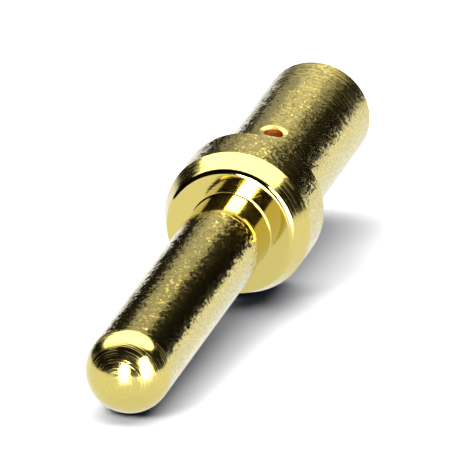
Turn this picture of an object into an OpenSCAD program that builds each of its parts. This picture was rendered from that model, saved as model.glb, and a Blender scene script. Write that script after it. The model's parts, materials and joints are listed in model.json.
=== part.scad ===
// Male crimp contact, turned from one bar and gold plated: a round-nosed pin, a neck, a collar
// with a lead-in cone, and a crimp barrel with its wire bore and inspection hole.
// It lies as it comes to rest, on its nose and on the edge of its collar, with the pin towards -Y.
// Stations are measured along the turning axis from the tip of the nose.

/* [Pin] */
// Diameter of the contact pin
pin_d = 2; // [1.2:0.05:2.4]
// Length of the pin, from the tip of its nose to the neck
pin_l = 8.2; // [5:0.05:14]
// Edge break where the pin ends at the neck
pin_break = 0.04; // [0.01:0.01:0.1]
// Depth of the neck below the pin's surface, at its pin end
neck_depth = 0.05; // [0.02:0.01:0.2]
// Rise of the neck's slight taper towards the collar, measured on the radius
neck_rise = 0.02; // [0.01:0.005:0.04]
// Length of the neck, from the pin to the collar's face
neck_l = 1.15; // [0.4:0.05:3]
// Radius left by the tool where the neck meets the collar's face
neck_corner_r = 0.06; // [0.02:0.01:0.15]

/* [Collar] */
// Diameter of the collar
collar_d = 3.5; // [3.3:0.05:5]
// Length of the collar's cylinder
collar_l = 1.25; // [0.6:0.05:3]
// Length of the lead-in cone in front of the cylinder
cone_l = 0.54; // [0.3:0.02:1.5]
// Rise of the lead-in cone, measured on the radius
cone_rise = 0.2; // [0.1:0.01:0.3]
// Chamfer round the collar's polished front face
face_chamfer = 0.08; // [0.02:0.01:0.12]
// Edge break round the back of the collar
back_break = 0.06; // [0.01:0.01:0.2]

/* [Crimp barrel] */
// Diameter of the wire bore
bore_d = 1.8; // [1:0.05:2.2]
// Wall of the barrel round the wire bore
barrel_wall = 0.38; // [0.25:0.005:0.5]
// Length of the barrel behind the collar
barrel_l = 5.7; // [4.8:0.05:9]
// Depth of the wire bore, to the end of its full diameter
bore_l = 4.8; // [3:0.05:5.6]
// Point angle of the drill that made the wire bore, in degrees
drill_angle = 118; // [90:1:140]
// Chamfer round the mouth of the wire bore
mouth_chamfer = 0.1; // [0.02:0.01:0.15]
// Chamfer round the outside of the barrel's end
end_chamfer = 0.08; // [0.02:0.01:0.1]
// Radius left by the tool where the barrel meets the collar
barrel_corner_r = 0.08; // [0.02:0.01:0.15]

/* [Inspection hole] */
// Diameter of the inspection hole
sight_d = 0.45; // [0.3:0.05:0.8]
// Width of the countersink round the hole
sight_flare = 0.08; // [0.02:0.01:0.15]
// Distance from the end of the bore's full diameter back to the hole's centre
sight_setback = 0.45; // [0.3:0.05:1.5]
// Roll of the hole from straight up as the contact lies, in degrees
sight_roll = 8; // [-180:1:180]

/* [Hidden] */
$fn = 96;
// How far a cutter runs on past the surface that it cuts
cut = 0.5;

pin_r = pin_d / 2;
neck_r = pin_r - neck_depth;
neck_root_r = neck_r + neck_rise;
collar_r = collar_d / 2;
cone_r = collar_r - cone_rise;
face_r = cone_r - face_chamfer;
bore_r = bore_d / 2;
barrel_r = bore_r + barrel_wall;
sight_r = sight_d / 2;

face_s = pin_l + neck_l;
cone_s = face_s + face_chamfer;
collar_s = cone_s + cone_l;
back_s = collar_s + collar_l;
end_s = back_s + barrel_l;
bore_s = end_s - bore_l;
sight_s = bore_s + sight_setback;
drill_point_l = bore_r / tan(drill_angle / 2);

// The contact touches its support at the nose and at the collar's front edge, which is edge_s
// behind the nose's centre. The turning axis then rises by rest_tilt towards the barrel.
edge_s = collar_s - pin_r;
rest_tilt = acos(pin_r / norm([collar_r, edge_s])) - atan2(edge_s, collar_r);
// The contact lies centred along Y, between its nose and the lower rim of its barrel's end
nose_y = (pin_r - (end_s - pin_r) * cos(rest_tilt) - (barrel_r - end_chamfer) * sin(rest_tilt)) / 2;

// Corner filler of radius r with its corner at the origin, filling towards +x and the given y side
module corner_fillet(r, side) {
    difference() {
        translate([0, side > 0 ? 0 : -r]) square(r);
        translate([r, side * r]) circle(r = r);
    }
}

module nose_section() {
    intersection() {
        translate([0, pin_r]) circle(r = pin_r);
        square(pin_r);
    }
}

module shaft_section() {
    polygon([
        [0, pin_r], [pin_r, pin_r],
        [pin_r, pin_l - pin_break], [pin_r - min(pin_break, neck_depth), pin_l],
        [neck_r, pin_l], [neck_root_r, face_s],
        [face_r, face_s], [cone_r, cone_s],
        [collar_r, collar_s], [collar_r, back_s - back_break],
        [collar_r - back_break, back_s], [barrel_r, back_s],
        [barrel_r, end_s - end_chamfer], [barrel_r - end_chamfer, end_s],
        [0, end_s]
    ]);
}

module turned_section() {
    nose_section();
    shaft_section();
    translate([neck_root_r, face_s]) corner_fillet(neck_corner_r, -1);
    translate([barrel_r, back_s]) corner_fillet(barrel_corner_r, 1);
}

module wire_bore() {
    translate([0, 0, bore_s]) cylinder(r = bore_r, h = bore_l + cut);
    translate([0, 0, bore_s - drill_point_l]) cylinder(r1 = 0, r2 = bore_r, h = drill_point_l);
    translate([0, 0, end_s - mouth_chamfer])
        cylinder(r1 = bore_r, r2 = bore_r + mouth_chamfer + cut, h = mouth_chamfer + cut);
}

module inspection_hole() {
    translate([0, 0, sight_s]) rotate([90, 0, sight_roll]) {
        cylinder(r = sight_r, h = barrel_r + cut);
        translate([0, 0, barrel_r - sight_flare])
            cylinder(r1 = sight_r, r2 = sight_r + sight_flare + cut, h = sight_flare + cut);
    }
}

// Lays the turning axis down along +Y, at its angle of rest on the plane Z = 0
module lay_down() {
    translate([0, nose_y, pin_r])
        rotate([rest_tilt - 90, 0, 0])
            translate([0, 0, -pin_r])
                children();
}

module crimp_contact() {
    color("gold")
        lay_down()
            difference() {
                rotate_extrude() turned_section();
                wire_bore();
                inspection_hole();
            }
}

crimp_contact();
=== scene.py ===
"""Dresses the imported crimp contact: one turned body with fine edges, gold plate and a pale studio.

Stations are measured along the turning axis from the tip of the nose, in metres, as all lengths here.
"""
import json
import math

import bpy
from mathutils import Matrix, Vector


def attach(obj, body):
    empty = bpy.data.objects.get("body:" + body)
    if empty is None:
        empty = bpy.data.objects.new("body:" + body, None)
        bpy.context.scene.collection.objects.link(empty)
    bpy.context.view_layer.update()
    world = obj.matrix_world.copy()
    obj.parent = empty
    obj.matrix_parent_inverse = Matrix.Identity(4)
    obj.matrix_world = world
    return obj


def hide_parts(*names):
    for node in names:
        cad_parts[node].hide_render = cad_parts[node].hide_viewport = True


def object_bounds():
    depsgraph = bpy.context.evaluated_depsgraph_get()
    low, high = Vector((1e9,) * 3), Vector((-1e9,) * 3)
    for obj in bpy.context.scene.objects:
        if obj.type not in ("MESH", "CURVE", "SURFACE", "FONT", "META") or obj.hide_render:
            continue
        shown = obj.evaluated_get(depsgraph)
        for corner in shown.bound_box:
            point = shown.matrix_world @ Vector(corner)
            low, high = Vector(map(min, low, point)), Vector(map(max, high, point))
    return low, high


bl_info = {
    "name": "Crimp Contact Dressing",
    "version": (1, 0, 0),
    "blender": (4, 5, 0),
    "location": "3D View > Sidebar > Crimp Contact",
    "description": "Turns the crimp contact in fine detail, plates it with gold and sets up its studio",
    "category": "Object",
}

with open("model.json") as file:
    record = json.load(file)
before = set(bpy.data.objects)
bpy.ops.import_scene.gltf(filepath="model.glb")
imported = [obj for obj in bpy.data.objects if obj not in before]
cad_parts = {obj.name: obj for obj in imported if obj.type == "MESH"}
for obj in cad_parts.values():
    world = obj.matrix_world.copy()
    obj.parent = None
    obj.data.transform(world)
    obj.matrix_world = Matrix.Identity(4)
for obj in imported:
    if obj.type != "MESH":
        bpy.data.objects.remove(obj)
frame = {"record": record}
cad_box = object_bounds()
mounts = {m["name"]: m for m in frame["record"]["mounts"]}

MM = 0.001
ROOT = "root"
CAD_NODE = "crimp_contact"


def mount_size(mount, key):
    """One size of a mount, in metres."""
    return mounts[mount]["dims"][key] * MM


# The turning axis as the record gives it: the pin mount's middle, and its direction out of the nose
NOSE_WARD = Vector(mounts["contact_pin"]["axis"]).normalized()
BARREL_WARD = -NOSE_WARD
PIN_R = mount_size("contact_pin", "r_mm")
TIP = Vector(mounts["contact_pin"]["pos_m"]) + NOSE_WARD * (
    mount_size("contact_pin", "length_mm") / 2 + PIN_R
)
SIDE_WARD = Vector((1, 0, 0))
TOP_WARD = SIDE_WARD.cross(BARREL_WARD)


def station(point):
    """How far along the turning axis a point of the record lies."""
    return (Vector(point) - TIP).dot(BARREL_WARD)


def span(mount):
    """The stations of both ends of a round mount."""
    middle = station(mounts[mount]["pos_m"])
    half = mount_size(mount, "length_mm") / 2
    return middle - half, middle + half


PIN_END = span("contact_pin")[1]
FACE = station(mounts["collar_front"]["pos_m"])
COLLAR_START, COLLAR_END = span("collar_rim")
COLLAR_BACK = station(mounts["collar_back"]["pos_m"])
BORE_START, BORE_END = span("wire_bore")


def length_property(name, description, default):
    """A length in metres for a panel."""
    return bpy.props.FloatProperty(
        name=name, description=description, default=default, min=0.0, precision=5,
        subtype="DISTANCE", unit="LENGTH",
    )


def glow_property(name, description, default):
    """The brightness of a lamp or floor for a panel."""
    return bpy.props.FloatProperty(name=name, description=description, default=default, min=0.0)


class ContactSizes(bpy.types.PropertyGroup):
    """The sizes of the turned contact that the record's mounts don't give."""

    pin_break: length_property("Pin edge break", "Chamfer where the pin ends at the neck", 0.00004)
    neck_depth: length_property("Neck depth", "Depth of the neck below the pin, at the pin", 0.00005)
    neck_rise: length_property("Neck rise", "Rise of the neck's taper towards the collar", 0.00002)
    neck_corner: length_property("Neck corner", "Tool radius where the neck meets the collar", 0.00003)
    cone_rise: length_property("Cone rise", "Rise of the lead-in cone, on the radius", 0.0002)
    face_chamfer: length_property("Face chamfer", "Chamfer round the collar's front face", 0.00008)
    back_break: length_property("Back break", "Edge break round the back of the collar", 0.00006)
    barrel_wall: length_property("Barrel wall", "Wall of the barrel round the wire bore", 0.00038)
    barrel_corner: length_property("Barrel corner", "Tool radius where the barrel meets the collar", 0.00008)
    mouth_chamfer: length_property("Mouth chamfer", "Chamfer round the mouth of the bore", 0.0001)
    end_chamfer: length_property("End chamfer", "Chamfer round the outside of the barrel's end", 0.00008)
    drill_angle: bpy.props.FloatProperty(
        name="Drill angle", description="Point angle of the drill that made the wire bore",
        default=math.radians(118), subtype="ANGLE", unit="ROTATION",
    )
    sight_d: length_property("Inspection hole", "Diameter of the inspection hole", 0.00045)
    sight_flare: length_property("Countersink", "Width of the countersink round the hole", 0.00009)
    sight_slope: bpy.props.FloatProperty(
        name="Countersink slope", description="Slope of the countersink below the barrel's surface",
        default=math.radians(31), subtype="ANGLE", unit="ROTATION",
    )
    sight_setback: length_property("Hole setback", "From the end of the bore back to the hole", 0.00045)
    sight_roll: bpy.props.FloatProperty(
        name="Hole roll", description="Roll of the hole from straight up, towards +X",
        default=math.radians(8), subtype="ANGLE", unit="ROTATION",
    )
    face_round: length_property("Face edge rounding", "Rounding of the face chamfer's edges", 0.00012)
    edge_round: length_property("Edge rounding", "Rounding of every turned edge", 0.000016)
    segments: bpy.props.IntProperty(
        name="Segments", description="Faces round the turned body", default=256, min=32, max=360,
    )


def colour_property(name, description, default):
    """A colour for a panel."""
    return bpy.props.FloatVectorProperty(
        name=name, description=description, subtype="COLOR", size=3, default=default, min=0.0, max=1.0,
    )


def factor_property(name, description, default):
    """A share from 0 to 1 for a panel."""
    return bpy.props.FloatProperty(
        name=name, description=description, default=default, min=0.0, max=1.0, subtype="FACTOR",
    )


class PlateFinish(bpy.types.PropertyGroup):
    """The gold plate's colours and the marks that turning left under it."""

    gold: colour_property("Gold", "Colour of the polished gold plate", (0.64, 0.52, 0.145))
    bright_gold: colour_property("Bright gold", "Colour of the crests of the satin's grain", (0.60, 0.495, 0.13))
    deep_gold: colour_property("Deep gold", "Colour of the hollows of the satin's grain", (0.54, 0.43, 0.10))
    gold_edge: colour_property("Gold at the rim", "Colour of the gold plate at a flat angle", (1.0, 1.0, 1.0))
    # The hole's wall colour is painted shade: a darker, more orange gold inside the hole. The wall's higher roughness
    # is real.
    hole_shade_gold: colour_property("Drilled gold", "Colour of the drilled hole's wall", (0.62, 0.25, 0.06))
    polish: factor_property("Polish", "Roughness of the collar's polished face", 0.07)
    nose_polish: factor_property("Nose polish", "Roughness of the nose", 0.12)
    cone_polish: factor_property("Cone polish", "Roughness of the lead-in cone", 0.14)
    satin: factor_property("Satin", "Roughness of the pin and the collar", 0.14)
    barrel_satin: factor_property("Barrel satin", "Roughness of the barrel", 0.17)
    comb: factor_property("Comb", "How much rougher the turning lines are", 0.35)
    sunk: factor_property("Countersunk", "Roughness of the hole's countersink", 0.28)
    drilled: factor_property("Drilled", "Roughness of the drilled hole's wall", 0.45)
    grain_size: length_property("Grain size", "Size of the plating's grain", 0.00005)
    grain_stretch: bpy.props.FloatProperty(
        name="Grain stretch", description="How much longer the grain is along the axis", default=1.3, min=1.0,
    )
    grain_lean: factor_property("Grain lean", "How far the grain's facets lean over", 0.066)
    line_pitch: length_property("Line pitch", "Spacing of the turning lines", 0.00005)
    line_depth: length_property("Line depth", "Depth of the turning lines", 0.000004)


class StudioSettings(bpy.types.PropertyGroup):
    """The camera, the lamps and the floor."""

    camera_ward: bpy.props.FloatVectorProperty(
        name="Towards the camera", description="Direction from the contact to the camera",
        subtype="DIRECTION", size=3, default=(0.2609, -0.9153, 0.3069),
    )
    camera_away: length_property("Camera distance", "From the contact to the camera", 0.47)
    frame_width: length_property("Frame width", "What the picture takes in", 0.010417)
    aim_right: length_property("Aim right", "From the nose's centre to the picture's middle", 0.002261)
    aim_up: length_property("Aim up", "From the nose's centre up to the picture's middle", 0.003192)
    lamp_height: length_property("Lamp height", "Height of the soft boxes over the floor", 0.6)
    over_glow: glow_property("Overhead glow", "Brightness of the soft box overhead", 3.7)
    back_glow: glow_property("Back glow", "Brightness of the dim soft box behind", 0.50)
    near_glow: glow_property("Near glow", "Brightness of the small box close behind the barrel", 0.40)
    right_glow: glow_property("Right glow", "Brightness of the box on the camera's right", 14.0)
    left_glow: glow_property("Left glow", "Brightness of the box on the camera's left", 36.0)
    fill_glow: glow_property("Fill glow", "Brightness of the lamp in front that only matt things show", 9.0)
    camera_floor: glow_property("Floor for the camera", "What raises the floor's white to the photograph's", 1.05)
    gold_floor: glow_property("Floor for the gold", "Brightness of the floor that the gold mirrors", 1.32)
    gold_floor_tint: colour_property("Floor tint", "Colour of the floor that the gold mirrors", (0.85, 0.89, 1.0))
    gold_floor_shade: factor_property("Shade in the gold", "How much of the floor's shade the gold mirrors", 0.12)
    floor_ior: bpy.props.FloatProperty(
        name="Floor IOR", description="How fast the floor turns shiny at a flat angle", default=1.25, min=1.0,
    )
    haze: colour_property("Haze", "Faint light from all round that only matt things show", (0.060, 0.062, 0.075))
    dark_room: colour_property("Dark room", "Colour of the room round the lit table", (0.004, 0.003, 0.003))


def alone(obj):
    """Makes obj the only selected object and the active one."""
    bpy.ops.object.select_all(action="DESELECT")
    obj.select_set(True)
    bpy.context.view_layer.objects.active = obj


def rounded(corners, arc_steps=5):
    """The (station, radius) points of a section whose corners (station, radius, rounding) are rounded off."""
    points = []
    for i, (along, radius, rounding) in enumerate(corners):
        here = Vector((along, radius))
        if not rounding or i in (0, len(corners) - 1):
            points.append(here)
            continue
        back, on = Vector(corners[i - 1][:2]) - here, Vector(corners[i + 1][:2]) - here
        half = back.angle(on) / 2
        reach = min(rounding / math.tan(half), 0.45 * back.length, 0.45 * on.length)
        start, stop = here + back.normalized() * reach, here + on.normalized() * reach
        centre = here + (back.normalized() + on.normalized()).normalized() * (reach / math.cos(half))
        a, b = start - centre, stop - centre
        turn = a.angle(b)
        for k in range(arc_steps + 1):
            t = k / arc_steps
            points.append(centre + (a * math.sin((1 - t) * turn) + b * math.sin(t * turn)) / math.sin(turn))
    return points


def nose_points(steps=28):
    """The round nose, from its tip to where the plain pin starts."""
    return [
        Vector((PIN_R - PIN_R * math.cos(a), PIN_R * math.sin(a)))
        for a in (math.pi / 2 * k / steps for k in range(steps))
    ]


def parted(points, hold=0.00001, longest=0.0005):
    """The points of a section with more on its straights, so that each keeps its own normal to its ends."""
    closer = [points[0]]
    for point in points[1:]:
        start, gap = closer[-1], (point - closer[-1]).length
        if gap > 6 * hold:
            ward = (point - start).normalized()
            first, last = start + ward * hold, point - ward * hold
            count = math.ceil((gap - 2 * hold) / longest)
            closer += [first.lerp(last, k / count) for k in range(count + 1)]
        closer.append(point)
    return closer


def contact_section(sizes):
    """The contact's half section, from the tip round the outside to the drill point in the bore."""
    neck_r = PIN_R - sizes.neck_depth
    root_r = neck_r + sizes.neck_rise
    collar_r = mount_size("collar_rim", "r_mm")
    cone_r = collar_r - sizes.cone_rise
    face_r = cone_r - sizes.face_chamfer
    bore_r = mount_size("wire_bore", "r_mm")
    barrel_r = bore_r + sizes.barrel_wall
    end = BORE_END + sizes.mouth_chamfer
    soft = sizes.edge_round
    neck_start = PIN_END + sizes.pin_break
    outside = [
        (PIN_R, PIN_R, 0),
        (PIN_END, PIN_R, soft),
        (neck_start, neck_r, soft),
        (FACE, root_r, sizes.neck_corner),
        (FACE, face_r, sizes.face_round),
        (FACE + sizes.face_chamfer, cone_r, sizes.face_round),
        (COLLAR_START, collar_r, soft),
        (COLLAR_END, collar_r, soft),
        (COLLAR_BACK, collar_r - sizes.back_break, soft),
        (COLLAR_BACK, barrel_r, sizes.barrel_corner),
        (end - sizes.end_chamfer, barrel_r, soft),
        (end, barrel_r - sizes.end_chamfer, soft),
        (end, bore_r + sizes.mouth_chamfer, soft),
        (BORE_END, bore_r, soft),
        (BORE_START, bore_r, soft),
        (BORE_START - bore_r / math.tan(sizes.drill_angle / 2), 0, 0),
    ]
    return nose_points() + parted(rounded(outside))


def hole_axis(sizes):
    """Where the inspection hole's axis leaves the turning axis, and its direction out of the barrel."""
    foot = TIP + BARREL_WARD * (BORE_START + sizes.sight_setback)
    return foot, TOP_WARD * math.cos(sizes.sight_roll) + SIDE_WARD * math.sin(sizes.sight_roll)


def hole_section(sizes):
    """The half section of the drill and countersink that make the inspection hole, from inside out."""
    bore_r = mount_size("wire_bore", "r_mm")
    barrel_r = bore_r + sizes.barrel_wall
    hole_r = sizes.sight_d / 2
    slope = math.tan(sizes.sight_slope)
    past = 0.0002
    corners = [
        (0.3 * bore_r, 0, 0),
        (0.3 * bore_r, hole_r, 0),
        (barrel_r - sizes.sight_flare * slope, hole_r, sizes.edge_round),
        (barrel_r + past, hole_r + sizes.sight_flare + past / slope, 0),
        (barrel_r + past, 0, 0),
    ]
    return rounded(corners)


def turn(name, section, origin, axis, outwards, segments):
    """Spins a half section round an axis into a closed solid, as on a lathe."""
    places = [origin + axis * point.x + outwards * point.y for point in section]
    bpy.ops.object.select_all(action="DESELECT")
    bpy.ops.mesh.primitive_plane_add(size=0.0001, location=places[0])
    body = bpy.context.active_object
    body.name = body.data.name = name
    bpy.ops.object.mode_set(mode="EDIT")
    bpy.ops.mesh.select_all(action="SELECT")
    bpy.ops.mesh.merge(type="CENTER")
    bpy.ops.mesh.select_mode(type="VERT")
    for last, place in zip(places, places[1:]):
        bpy.ops.mesh.extrude_vertices_move(TRANSFORM_OT_translate={"value": place - last})
    bpy.ops.mesh.select_all(action="SELECT")
    bpy.ops.mesh.spin(
        steps=segments, angle=math.tau, center=origin, axis=axis, use_auto_merge=True,
    )
    bpy.ops.mesh.select_all(action="SELECT")
    bpy.ops.mesh.remove_doubles(threshold=2e-7)
    bpy.ops.mesh.normals_make_consistent(inside=False)
    bpy.ops.object.mode_set(mode="OBJECT")
    alone(body)
    bpy.ops.object.transform_apply(location=True, rotation=True, scale=True)
    return body


def sink_with_barrel(drill, foot, hole_ward, barrel_r):
    """Sinks the countersink with the barrel's curve, so that it is as wide all round the hole."""
    across = BARREL_WARD.cross(hole_ward)
    for vertex in drill.data.vertices:
        off = vertex.co - foot
        if off.dot(hole_ward) > barrel_r / 2:
            vertex.co -= hole_ward * (barrel_r - math.sqrt(barrel_r ** 2 - off.dot(across) ** 2))


def cut_away(body, tool):
    """Cuts a tool's shape out of body and removes the tool."""
    alone(body)
    cut = body.modifiers.new("cut", "BOOLEAN")
    cut.operation = "DIFFERENCE"
    cut.solver = "EXACT"
    cut.object = tool
    bpy.ops.object.modifier_apply(modifier=cut.name)
    bpy.data.objects.remove(tool)


class NodeTree:
    """Adds nodes to a material, world or group and links them by name."""

    def __init__(self, tree):
        self.tree = tree

    def node(self, kind, links=None, **settings):
        new = self.tree.nodes.new(kind)
        for key, value in settings.items():
            setattr(new, key, value)
        for socket, source in (links or {}).items():
            target = new.inputs[socket]
            if isinstance(source, bpy.types.NodeSocket):
                self.tree.links.new(source, target)
            else:
                target.default_value = source
        return new

    def math(self, operation, *values):
        new = self.tree.nodes.new("ShaderNodeMath")
        new.operation = operation
        for k, value in enumerate(values):
            if isinstance(value, bpy.types.NodeSocket):
                self.tree.links.new(value, new.inputs[k])
            else:
                new.inputs[k].default_value = value
        return new.outputs[0]

    def vector(self, operation, *values, out=0):
        new = self.tree.nodes.new("ShaderNodeVectorMath")
        new.operation = operation
        for k, value in enumerate(values):
            if isinstance(value, bpy.types.NodeSocket):
                self.tree.links.new(value, new.inputs[k])
            else:
                new.inputs[k].default_value = value
        return new.outputs[out]

    def step(self, value, low, high):
        """0 below low, 1 above high, smooth between."""
        new = self.node(
            "ShaderNodeMapRange",
            {"Value": value, "From Min": low, "From Max": high, "To Min": 0.0, "To Max": 1.0},
            interpolation_type="SMOOTHSTEP",
        )
        return new.outputs["Result"]


def group_with(name, inputs, outputs):
    """An empty shader group with named sockets: (tree, input node, output node)."""
    group = bpy.data.node_groups.new(name, "ShaderNodeTree")
    for label, kind, value in inputs:
        socket = group.interface.new_socket(name=label, in_out="INPUT", socket_type=kind)
        if value is not None:
            socket.default_value = value
    for label, kind in outputs:
        group.interface.new_socket(name=label, in_out="OUTPUT", socket_type=kind)
    return NodeTree(group), group.nodes.new("NodeGroupInput"), group.nodes.new("NodeGroupOutput")


def turned_place_group():
    """Where a point lies on the turned contact, in millimetres: its station and its radius."""
    tree, _, out = group_with(
        "turned_place", [], [("Station", "NodeSocketFloat"), ("Radius", "NodeSocketFloat"), ("Place", "NodeSocketVector")],
    )
    coords = tree.node("ShaderNodeTexCoord").outputs["Object"]
    local = tree.vector("SUBTRACT", coords, tuple(TIP))
    scaled = tree.vector("SCALE", local)
    scaled.node.inputs["Scale"].default_value = 1 / MM
    along = tree.vector("DOT_PRODUCT", scaled, tuple(BARREL_WARD), out="Value")
    on_axis = tree.vector("SCALE", tuple(BARREL_WARD))
    tree.tree.links.new(along, on_axis.node.inputs["Scale"])
    across = tree.vector("SUBTRACT", scaled, on_axis)
    radius = tree.vector("LENGTH", across, out="Value")
    tree.tree.links.new(along, out.inputs["Station"])
    tree.tree.links.new(radius, out.inputs["Radius"])
    tree.tree.links.new(scaled, out.inputs["Place"])
    return tree.tree


def turning_lines_group():
    """Fine lines round the axis, as a tool leaves them, stronger here and fainter there."""
    tree, into, out = group_with(
        "turning_lines",
        [("Station", "NodeSocketFloat", 0.0), ("Radius", "NodeSocketFloat", 0.0),
         ("Place", "NodeSocketVector", None), ("Pitch", "NodeSocketFloat", 0.05)],
        [("Height", "NodeSocketFloat"), ("Comb", "NodeSocketFloat")],
    )
    path = tree.math("ADD", into.outputs["Station"], into.outputs["Radius"])
    turns = tree.math("DIVIDE", path, into.outputs["Pitch"])
    fine = tree.node("ShaderNodeTexNoise", {"W": turns, "Scale": 1.0, "Detail": 3.0, "Roughness": 0.6},
                     noise_dimensions="1D")
    patches = tree.node("ShaderNodeTexNoise", {"Vector": into.outputs["Place"], "Scale": 2.6, "Detail": 2.0})
    strength = tree.step(patches.outputs["Fac"], 0.35, 0.65)
    height = tree.math("MULTIPLY", fine.outputs["Fac"], tree.math("MULTIPLY_ADD", strength, 0.6, 0.4))
    tree.tree.links.new(height, out.inputs["Height"])
    combed = tree.math("MULTIPLY", tree.step(fine.outputs["Fac"], 0.50, 0.66), tree.math("MULTIPLY_ADD", strength, 0.7, 0.3))
    tree.tree.links.new(combed, out.inputs["Comb"])
    return tree.tree


def plating_grain_group():
    """The grain that shows through the plating: small facets that each lean a little their own way."""
    tree, into, out = group_with(
        "plating_grain",
        [("Station", "NodeSocketFloat", 0.0), ("Place", "NodeSocketVector", None),
         ("Size", "NodeSocketFloat", 0.03), ("Stretch", "NodeSocketFloat", 1.0),
         ("Lean", "NodeSocketFloat", 0.05), ("Normal", "NodeSocketVector", None)],
        [("Normal", "NodeSocketVector"), ("Crest", "NodeSocketFloat"), ("Cloud", "NodeSocketFloat")],
    )
    shorter = tree.math("SUBTRACT", tree.math("DIVIDE", 1.0, into.outputs["Stretch"]), 1.0)
    slide = tree.vector("SCALE", tuple(BARREL_WARD))
    tree.tree.links.new(tree.math("MULTIPLY", into.outputs["Station"], shorter), slide.node.inputs["Scale"])
    place = tree.vector("ADD", into.outputs["Place"], slide)
    scale = tree.math("DIVIDE", 1.0, into.outputs["Size"])
    facets = tree.node("ShaderNodeTexVoronoi", {"Vector": place, "Scale": scale}, feature="F1")
    lean = tree.vector("SCALE", tree.vector("SUBTRACT", facets.outputs["Color"], (0.5, 0.5, 0.5)))
    tree.tree.links.new(tree.math("MULTIPLY", into.outputs["Lean"], 2.0), lean.node.inputs["Scale"])
    leaning = tree.vector("NORMALIZE", tree.vector("ADD", into.outputs["Normal"], lean))
    tree.tree.links.new(leaning, out.inputs["Normal"])
    fine = tree.node("ShaderNodeTexNoise", {"Vector": place, "Scale": scale, "Detail": 1.0, "Roughness": 0.6})
    tree.tree.links.new(tree.step(fine.outputs["Fac"], 0.36, 0.66), out.inputs["Crest"])
    wide = tree.node("ShaderNodeTexNoise", {"Vector": into.outputs["Place"], "Scale": 2.2, "Detail": 3.0})
    tree.tree.links.new(wide.outputs["Fac"], out.inputs["Cloud"])
    return tree.tree


def finish_stretches(finish, sizes):
    """(start, softness of the start, roughness, grain, lines) of each stretch, in mm from the tip."""
    return (
        (0.0, 0.0, finish.nose_polish, 0.10, 1.0),
        (0.95, 0.10, finish.satin, 1.0, 0.06),
        (PIN_END / MM, 0.02, finish.polish, 0.0, 0.12),
        (FACE / MM - 0.02, 0.01, finish.polish, 0.0, 0.15),
        ((FACE + sizes.face_chamfer) / MM - 0.01, 0.01, finish.cone_polish, 0.15, 0.70),
        (COLLAR_START / MM, 0.02, finish.satin + 0.03, 1.2, 0.20),
        (COLLAR_BACK / MM, 0.02, finish.barrel_satin, 1.1, 0.18),
        (BORE_END / MM - 1.6, 1.2, finish.barrel_satin + 0.02, 1.0, 0.60),
    )


def by_stretch(tree, station, stretches, column):
    """One column of finish_stretches as a value that changes along the axis."""
    value = stretches[0][column]
    for before, stretch in zip(stretches, stretches[1:]):
        reached = tree.step(station, stretch[0] - stretch[1], stretch[0] + stretch[1])
        value = tree.math("MULTIPLY_ADD", reached, stretch[column] - before[column], value)
    return value


def hole_masks(tree, spot, sizes):
    """Two masks, of the inspection hole's drilled wall and of the hole with its countersink. The wall's mask also lays
    painted shade on the wall.
    """
    foot, hole_ward = hole_axis(sizes)
    off = tree.vector("SUBTRACT", spot, tuple((foot - TIP) / MM))
    away = tree.vector("LENGTH", tree.vector("CROSS_PRODUCT", off, tuple(hole_ward)), out="Value")
    rise = tree.vector("DOT_PRODUCT", off, tuple(hole_ward), out="Value")
    hole_r = sizes.sight_d / 2 / MM
    outside = tree.step(rise, 0.50, 0.55)
    ring_r = hole_r + sizes.sight_flare / MM
    return (tree.math("MULTIPLY", outside, tree.step(away, hole_r + 0.015, hole_r + 0.005)),
            tree.math("MULTIPLY", outside, tree.step(away, ring_r + 0.012, ring_r + 0.004)))


def colour_mix(tree, factor, a, b):
    """A colour that turns from a to b with factor. Each is a colour or a socket."""
    mixed = tree.node("ShaderNodeMix", {"Factor": factor}, data_type="RGBA")
    for label, value in (("A", a), ("B", b)):
        if isinstance(value, bpy.types.NodeSocket):
            tree.tree.links.new(value, mixed.inputs[label])
        else:
            mixed.inputs[label].default_value = (*value, 1.0)
    return mixed.outputs["Result"]


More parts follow.
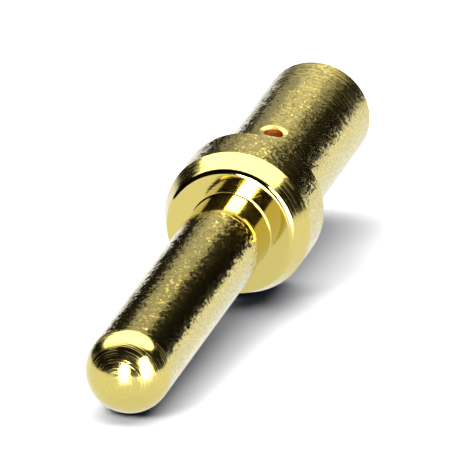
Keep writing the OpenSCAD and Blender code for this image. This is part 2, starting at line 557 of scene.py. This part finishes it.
def gold_plate_material(finish, sizes):
    """Bright gold plate over turned metal: polished on the nose, face and cone, satin elsewhere."""
    material = bpy.data.materials.new("gold_plate_turned")
    material.use_nodes = True
    material.node_tree.nodes.clear()
    tree = NodeTree(material.node_tree)
    place = tree.node("ShaderNodeGroup", node_tree=turned_place_group())
    along, radius, spot = (place.outputs[k] for k in ("Station", "Radius", "Place"))
    lines = tree.node("ShaderNodeGroup", node_tree=turning_lines_group())
    grain = tree.node("ShaderNodeGroup", node_tree=plating_grain_group())
    for target in (lines, grain):
        tree.tree.links.new(spot, target.inputs["Place"])
        tree.tree.links.new(along, target.inputs["Station"])
    tree.tree.links.new(radius, lines.inputs["Radius"])
    lines.inputs["Pitch"].default_value = finish.line_pitch / MM
    grain.inputs["Size"].default_value = finish.grain_size / MM
    grain.inputs["Stretch"].default_value = finish.grain_stretch

    stretches = finish_stretches(finish, sizes)
    roughness, grained, lined = (by_stretch(tree, along, stretches, column) for column in (2, 3, 4))
    drilled, sunk = hole_masks(tree, spot, sizes)
    unsunk = tree.math("SUBTRACT", 1.0, sunk)
    grained, lined = (tree.math("MULTIPLY", value, unsunk) for value in (grained, lined))
    varied = tree.math("MULTIPLY_ADD", tree.math("SUBTRACT", grain.outputs["Cloud"], 0.5), 0.06, roughness)
    combed = tree.math("MULTIPLY", lines.outputs["Comb"], tree.math("MULTIPLY", lined, finish.comb))
    varied = tree.math("ADD", varied, combed)
    varied = tree.math("MAXIMUM", varied, tree.math("MULTIPLY", sunk, finish.sunk))
    roughness = tree.math("MAXIMUM", varied, tree.math("MULTIPLY", drilled, finish.drilled))

    line_height = tree.math("MULTIPLY", lines.outputs["Height"], tree.math("MULTIPLY", lined, finish.line_depth))
    bump = tree.node("ShaderNodeBump", {"Height": line_height, "Strength": 1.0, "Distance": 1.0})
    tree.tree.links.new(bump.outputs["Normal"], grain.inputs["Normal"])
    tree.tree.links.new(tree.math("MULTIPLY", grained, finish.grain_lean), grain.inputs["Lean"])
    satin_gold = colour_mix(tree, grain.outputs["Crest"], finish.deep_gold, finish.bright_gold)
    plated = colour_mix(tree, grained, finish.gold, satin_gold)
    # The colour mixed in on the hole's wall is painted shade: a darker, more orange gold inside the hole.
    shader = tree.node(
        "ShaderNodeBsdfPrincipled",
        {"Base Color": colour_mix(tree, drilled, plated, finish.hole_shade_gold), "Metallic": 1.0,
         "Roughness": roughness, "Specular Tint": (*finish.gold_edge, 1.0), "Normal": grain.outputs["Normal"]},
    )
    out = tree.node("ShaderNodeOutputMaterial")
    tree.tree.links.new(shader.outputs["BSDF"], out.inputs["Surface"])
    return material


class CRIMPCONTACT_OT_turn_body(bpy.types.Operator):
    """Turns the contact from its half section, drills it and plates it"""

    bl_idname = "crimp_contact.turn_body"
    bl_label = "Turn the Contact"

    def execute(self, context):
        sizes = context.scene.contact_sizes
        body = turn("turned_contact", contact_section(sizes), TIP, BARREL_WARD, TOP_WARD, sizes.segments)
        foot, hole_ward = hole_axis(sizes)
        drill = turn("hole_drill", hole_section(sizes), foot, hole_ward, NOSE_WARD, 96)
        sink_with_barrel(drill, foot, hole_ward, mount_size("wire_bore", "r_mm") + sizes.barrel_wall)
        cut_away(body, drill)
        alone(body)
        bpy.ops.object.shade_smooth_by_angle(angle=math.radians(24))
        body.data.materials.append(gold_plate_material(context.scene.plate_finish, sizes))
        if not body.data.polygons:
            raise RuntimeError("the turned contact has no faces")
        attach(body, ROOT)
        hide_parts(CAD_NODE)
        return {"FINISHED"}


def soft_box(name, place, aim, width, height, glow, shape="RECTANGLE"):
    """A flat lamp whose surface has the given brightness, turned to face aim."""
    lamp = bpy.data.lights.new(name, "AREA")
    lamp.shape = shape
    lamp.size, lamp.size_y = width, height
    lamp.energy = glow * math.pi * width * height * (math.pi / 4 if shape == "ELLIPSE" else 1)
    box = bpy.data.objects.new(name, lamp)
    bpy.context.scene.collection.objects.link(box)
    box.location = place
    box.rotation_euler = (Vector(aim) - Vector(place)).to_track_quat("-Z", "Y").to_euler()
    box.visible_camera = False
    return box


def floor_material(settings):
    """A pale matt floor. The camera and the gold see it as white as the photograph's."""
    material = bpy.data.materials.new("pale_floor")
    material.use_nodes = True
    material.node_tree.nodes.clear()
    tree = NodeTree(material.node_tree)
    path = tree.node("ShaderNodeLightPath")
    mirrored = tree.math("MAXIMUM", path.outputs["Is Glossy Ray"], path.outputs["Is Transmission Ray"])
    plain = tree.node("ShaderNodeBsdfDiffuse", {"Color": (0.8, 0.8, 0.8, 1.0)})
    white = tree.node("ShaderNodeBsdfDiffuse", {"Color": (settings.camera_floor,) * 3 + (1.0,)})
    even = tree.node("ShaderNodeEmission", {"Color": (*settings.gold_floor_tint, 1.0), "Strength": settings.gold_floor})
    shaded = tree.node("ShaderNodeMixShader", {0: settings.gold_floor_shade, 1: even.outputs[0], 2: plain.outputs[0]})
    flat_view = tree.math("POWER", tree.node("ShaderNodeFresnel", {"IOR": settings.floor_ior}).outputs[0], 2.0)
    sheen = tree.node("ShaderNodeBsdfAnisotropic", {"Color": tree.math("MULTIPLY", flat_view, 3.0), "Roughness": 0.1})
    in_gold = tree.node("ShaderNodeAddShader", {0: shaded.outputs[0], 1: sheen.outputs[0]})
    for_camera = tree.node("ShaderNodeMixShader", {0: path.outputs["Is Camera Ray"], 1: plain.outputs[0],
                                                   2: white.outputs[0]})
    mixed = tree.node("ShaderNodeMixShader", {0: mirrored, 1: for_camera.outputs[0], 2: in_gold.outputs[0]})
    out = tree.node("ShaderNodeOutputMaterial")
    tree.tree.links.new(mixed.outputs[0], out.inputs["Surface"])
    return material


def studio_world(settings):
    """A white ground far out, and the dark room that the gold mirrors over it."""
    world = bpy.data.worlds.new("studio")
    bpy.context.scene.world = world
    world.use_nodes = True
    world.node_tree.nodes.clear()
    tree = NodeTree(world.node_tree)
    path = tree.node("ShaderNodeLightPath")
    ward = tree.node("ShaderNodeTexCoord").outputs["Generated"]
    rise = tree.node("ShaderNodeSeparateXYZ", {"Vector": ward}).outputs["Z"]
    over_floor = tree.step(rise, -0.002, 0.002)
    room = tree.node("ShaderNodeMix", {"Factor": over_floor}, data_type="RGBA")
    room.inputs["A"].default_value = (0.95, 0.95, 0.95, 1.0)
    room.inputs["B"].default_value = (*settings.dark_room, 1.0)
    lit = tree.node("ShaderNodeMix", {"Factor": path.outputs["Is Diffuse Ray"]}, data_type="RGBA")
    tree.tree.links.new(room.outputs["Result"], lit.inputs["A"])
    lit.inputs["B"].default_value = (*settings.haze, 1.0)
    seen = tree.node("ShaderNodeMix", {"Factor": path.outputs["Is Camera Ray"]}, data_type="RGBA")
    tree.tree.links.new(lit.outputs["Result"], seen.inputs["A"])
    seen.inputs["B"].default_value = (1.0, 1.0, 1.0, 1.0)
    shader = tree.node("ShaderNodeBackground", {"Color": seen.outputs["Result"], "Strength": 1.0})
    out = tree.node("ShaderNodeOutputWorld")
    tree.tree.links.new(shader.outputs[0], out.inputs["Surface"])


class CRIMPCONTACT_OT_set_stage(bpy.types.Operator):
    """Lays the floor and places the lamps, the room and the camera"""

    bl_idname = "crimp_contact.set_stage"
    bl_label = "Set the Stage"

    def execute(self, context):
        settings = context.scene.studio_settings
        floor_z = cad_box[0][2]
        bpy.ops.object.select_all(action="DESELECT")
        bpy.ops.mesh.primitive_circle_add(vertices=64, radius=0.8, fill_type="NGON", location=(0, 0, floor_z))
        floor = bpy.context.active_object
        floor.name = "pale_floor"
        bpy.ops.object.transform_apply(location=True, rotation=True, scale=True)
        floor.data.materials.append(floor_material(settings))

        high = settings.lamp_height
        soft_box("box_overhead", (-0.27 * high, 0.58 * high, high), (-0.27 * high, 0.58 * high, 0),
                 2.70 * high, 1.26 * high, settings.over_glow, "ELLIPSE")
        soft_box("box_behind", (-0.21 * high, 1.68 * high, high), (-0.21 * high, 1.68 * high, 0),
                 0.85 * high, 0.95 * high, settings.back_glow)
        by_barrel = soft_box("box_by_barrel", (-0.0028, 0.0265, 0.012), (0, 0.0055, 0.002), 0.020, 0.011,
                             settings.near_glow, "ELLIPSE")
        fill = soft_box("fill_in_front", (-0.25, -0.45, 0.50), (0, 0, 0), 0.35, 0.35, settings.fill_glow)
        fill.visible_glossy = False
        beside = (
            soft_box("box_right_of_camera", (0.53, -0.29, 0.26), (0, 0, 0.26), 0.27, 0.52, settings.right_glow),
            soft_box("box_left_of_camera", (0.015, -0.62, 0.16), (0, 0, 0.16), 0.21, 0.32, settings.left_glow),
        )
        for box in (*beside, by_barrel):
            box.visible_diffuse = False
        context.scene.cycles.caustics_reflective = False
        studio_world(settings)

        camera = bpy.data.cameras.new("camera")
        eye = bpy.data.objects.new("camera", camera)
        context.scene.collection.objects.link(eye)
        ward = Vector(settings.camera_ward).normalized()
        right = Vector((0, 0, 1)).cross(ward).normalized()
        up = ward.cross(right)
        nose_centre = TIP + BARREL_WARD * PIN_R
        aim = nose_centre + right * settings.aim_right + up * settings.aim_up
        eye.location = aim + ward * settings.camera_away
        eye.rotation_euler = ward.to_track_quat("Z", "Y").to_euler()
        camera.sensor_width = 36
        camera.lens = camera.sensor_width * settings.camera_away / settings.frame_width
        camera.clip_start, camera.clip_end = 0.01, 10
        context.scene.camera = eye
        context.scene.view_settings.view_transform = "Standard"
        return {"FINISHED"}


class CRIMPCONTACT_PT_sidebar(bpy.types.Panel):
    """Lists the steps that dress the contact, and their sizes"""

    bl_idname = "CRIMPCONTACT_PT_sidebar"
    bl_label = "Crimp Contact"
    bl_space_type = "VIEW_3D"
    bl_region_type = "UI"
    bl_category = "Crimp Contact"

    def draw(self, context):
        for settings, operator in (
            (context.scene.contact_sizes, CRIMPCONTACT_OT_turn_body),
            (context.scene.plate_finish, None),
            (context.scene.studio_settings, CRIMPCONTACT_OT_set_stage),
        ):
            box = self.layout.box()
            for key in settings.__annotations__:
                box.prop(settings, key)
            if operator:
                box.operator(operator.bl_idname)


CLASSES = (
    ContactSizes, PlateFinish, StudioSettings,
    CRIMPCONTACT_OT_turn_body, CRIMPCONTACT_OT_set_stage, CRIMPCONTACT_PT_sidebar,
)


def register():
    for each in CLASSES:
        bpy.utils.register_class(each)
    bpy.types.Scene.contact_sizes = bpy.props.PointerProperty(type=ContactSizes)
    bpy.types.Scene.plate_finish = bpy.props.PointerProperty(type=PlateFinish)
    bpy.types.Scene.studio_settings = bpy.props.PointerProperty(type=StudioSettings)


def unregister():
    for name in ("contact_sizes", "plate_finish", "studio_settings"):
        delattr(bpy.types.Scene, name)
    for each in reversed(CLASSES):
        bpy.utils.unregister_class(each)


def main():
    register()
    bpy.ops.crimp_contact.set_stage()
    bpy.ops.crimp_contact.turn_body()


if __name__ == "__main__":
    main()
